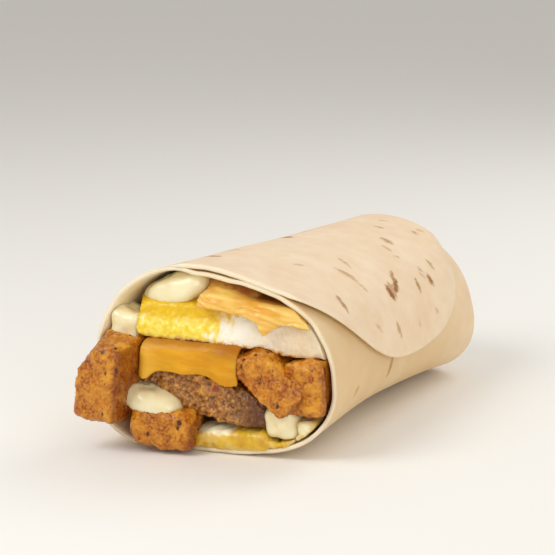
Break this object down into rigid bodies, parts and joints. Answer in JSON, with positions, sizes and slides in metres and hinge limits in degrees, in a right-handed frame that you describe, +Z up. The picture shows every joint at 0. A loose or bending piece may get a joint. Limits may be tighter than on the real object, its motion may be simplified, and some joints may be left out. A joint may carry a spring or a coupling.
{
  "type": "burrito",
  "caption": "Breakfast burrito: a rolled flour tortilla, open at one end, round fried egg, melted cheese, sausage, seasoned potato chunks and creamy sauce.",
  "frame": {"origin": "on the table under the middle of the whole burrito's bounding box", "axes": "+Z up, +Y along the roll from the open end to the closed end, +X to the right as the open end is looked at"},
  "size_m": [0.0712, 0.1424, 0.0528],
  "materials": {
    "tortilla": "soft flour tortilla, pale cream with small toasted spots",
    "fried_egg": "cooked egg, moist white with a yellow yolk side and a browned lower edge",
    "folded_egg": "cooked egg, moist yellow with white patches",
    "cheese": "melted cheese, glossy orange yellow",
    "sausage": "cooked sausage meat, grainy, moist and brown with red flecks",
    "potato": "fried seasoned potato, golden orange with a darker crust and herb specks",
    "sauce": "thick creamy sauce, smooth and pale"
  },
  "bodies": {
    "root": {"tortilla": "tortilla", "fried_egg": "fried_egg", "folded_egg": "folded_egg", "cheese_top": "cheese", "cheese_middle": "cheese", "sausage_patty": "sausage", "potato_left": "potato", "potato_bottom": "potato", "potato_middle": "potato", "potato_right": "potato", "sauce_top": "sauce", "sauce_corner": "sauce", "sauce_left": "sauce", "sauce_right": "sauce"}
  },
  "joints": []
}
